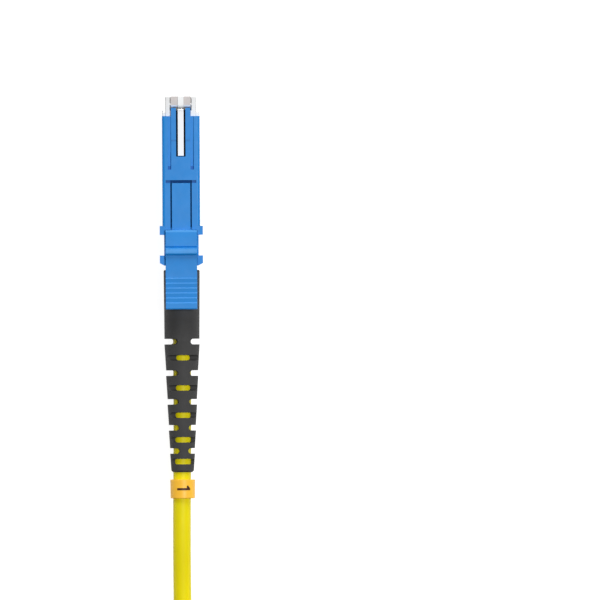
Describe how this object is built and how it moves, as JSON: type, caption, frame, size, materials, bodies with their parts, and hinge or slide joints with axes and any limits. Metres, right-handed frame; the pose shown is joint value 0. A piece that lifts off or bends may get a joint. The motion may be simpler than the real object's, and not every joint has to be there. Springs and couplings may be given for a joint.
{
  "type": "shuttered single-fibre plug",
  "caption": "Slim shuttered fibre plug with a hinged dust flap, release lever and slotted boot on a numbered patch cord that ends in the same plug.",
  "frame": {"origin": "centre of the ferrule's end face on the plug's axis", "axes": "+Y out of the plug's front along the ferrule, +Z towards the release lever, +X across the plug"},
  "size_m": [0.0296, 0.1738, 0.0195],
  "materials": {
    "housing": "satin moulded plastic, mid blue",
    "lever": "satin moulded plastic, mid blue",
    "nose": "satin moulded plastic, white",
    "shutter": "thin bent sheet, light grey",
    "steel": "drawn wire",
    "leaf": "white leaf",
    "ceramic": "polished zirconia ceramic, white",
    "flange": "turned metal",
    "rear_metal": "turned, nickel plated",
    "crimp_metal": "crimped tube",
    "yarn": "aramid yarn, yellow",
    "buffer": "buffer coating, white",
    "boot": "moulded elastomer, black",
    "marker": "moulded clip, orange yellow",
    "cord": "extruded jacket, yellow",
    "tie": "soft strip, black"
  },
  "bodies": {
    "root": {"outer_housing": "housing", "inner_body": "nose", "hinge_pin": "steel", "shutter_spring": "leaf", "ferrule_spring": "steel", "rear_body": "rear_metal", "crimp_sleeve": "crimp_metal", "aramid_yarn": "yarn", "fibre_buffer": "buffer", "boot": "boot", "marker": "marker", "cord_run": "cord", "cord_hank": "cord", "cord_tail": "cord", "hank_tie_left": "tie", "hank_tie_right": "tie", "far_outer_housing": "housing", "far_inner_body": "nose", "far_hinge_pin": "steel", "far_shutter_spring": "leaf", "far_ferrule_spring": "steel", "far_rear_body": "rear_metal", "far_crimp_sleeve": "crimp_metal", "far_aramid_yarn": "yarn", "far_fibre_buffer": "buffer", "far_boot": "boot", "far_marker": "marker"},
    "shutter": {"shutter": "shutter"},
    "far_shutter": {"far_shutter": "shutter"},
    "lever": {"lever": "lever"},
    "far_lever": {"far_lever": "lever"},
    "ferrule": {"ferrule": "ceramic", "ferrule_flange": "flange"},
    "far_ferrule": {"far_ferrule": "ceramic", "far_ferrule_flange": "flange"}
  },
  "joints": [
    {"name": "shutter_hinge", "type": "hinge", "parent": "root", "child": "shutter", "pos_m": [0, 0.0002, 0.0031], "axis": [1, 0, 0], "range_deg": [0, 90], "stiffness_Nm_per_rad": 0.00002, "springref_deg": -57.3},
    {"name": "lever_press", "type": "hinge", "parent": "root", "child": "lever", "pos_m": [0, -0.0211, 0.0033], "axis": [1, 0, 0], "range_deg": [0, 6], "stiffness_Nm_per_rad": 0.003, "springref_deg": -11.46},
    {"name": "ferrule_push", "type": "slide", "parent": "root", "child": "ferrule", "axis": [0, -1, 0], "range_m": [0, 0.001], "stiffness_N_per_m": 40, "springref_m": -0.004, "deforming": ["ferrule_spring"]},
    {"name": "far_shutter_hinge", "type": "hinge", "parent": "root", "child": "far_shutter", "pos_m": [0.0015, -0.1708, 0.0125], "axis": [-1, 0, 0], "range_deg": [0, 90], "stiffness_Nm_per_rad": 0.00002, "springref_deg": -57.3},
    {"name": "far_lever_press", "type": "hinge", "parent": "root", "child": "far_lever", "pos_m": [0.0015, -0.1495, 0.0127], "axis": [-1, 0, 0], "range_deg": [0, 6], "stiffness_Nm_per_rad": 0.003, "springref_deg": -11.46},
    {"name": "far_ferrule_push", "type": "slide", "parent": "root", "child": "far_ferrule", "axis": [0, 1, 0], "range_m": [0, 0.001], "stiffness_N_per_m": 40, "springref_m": -0.004, "deforming": ["far_ferrule_spring"]}
  ]
}
